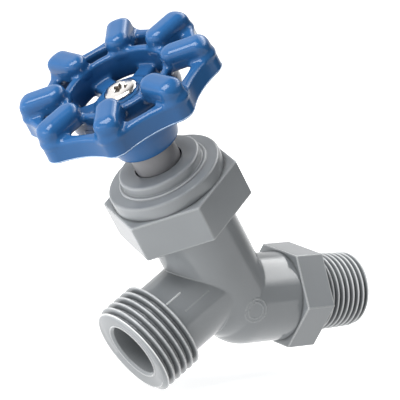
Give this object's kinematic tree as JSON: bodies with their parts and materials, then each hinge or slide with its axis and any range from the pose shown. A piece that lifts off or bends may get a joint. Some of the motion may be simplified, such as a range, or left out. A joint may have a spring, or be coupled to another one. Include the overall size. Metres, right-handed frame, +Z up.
{
  "type": "hose bibb",
  "caption": "Y-pattern hose bibb with a male pipe-thread inlet and hexagon, an angled screw-down stem under a hex bonnet nut, a lobed handwheel and a male hose-thread outlet.",
  "frame": {"origin": "centre of the inlet end face of the tapered pipe thread", "axes": "+X along the inlet axis, out of the valve and into the supply pipe; +Z up, with the stem and the outlet in the XZ plane; the stem leans towards -X and the outlet points towards -X and down"},
  "size_m": [0.1082, 0.0544, 0.1025],
  "materials": {
    "body_plastic": "satin grey moulded plastic",
    "nut_plastic": "satin grey moulded plastic",
    "guide_plastic": "satin grey moulded plastic",
    "stem_plastic": "polished dark grey plastic",
    "gasket_rubber": "black rubber",
    "packing_rubber": "black graphited packing",
    "seat_rubber": "black rubber",
    "brass_trim": "turned brass",
    "wheel_enamel": "glossy blue enamel on die-cast zinc",
    "screw_steel": "bright nickel-plated steel"
  },
  "bodies": {
    "body": {"valve_body": "body_plastic", "stem_guide": "guide_plastic", "guide_gasket": "gasket_rubber", "packing_washer": "brass_trim", "stem_packing": "packing_rubber", "bonnet_nut": "nut_plastic"},
    "seat_disc": {"washer_holder": "brass_trim", "seat_washer": "seat_rubber", "seat_washer_screw": "brass_trim"},
    "spindle": {"stem": "stem_plastic", "handwheel": "wheel_enamel", "handwheel_screw": "screw_steel"}
  },
  "joints": [
    {"name": "stem_travel", "type": "slide", "parent": "body", "child": "seat_disc", "axis": [-0.5736, 0, 0.8192], "range_m": [0, 0.0072]},
    {"name": "handwheel_turn", "type": "hinge", "parent": "seat_disc", "child": "spindle", "pos_m": [-0.0413, 0, 0], "axis": [-0.5736, 0, 0.8192], "range_deg": [0, 1080]}
  ],
  "couplings": [
    {"joint": "stem_travel", "follows": "handwheel_turn", "m_per_rad": 0.00038197}
  ]
}
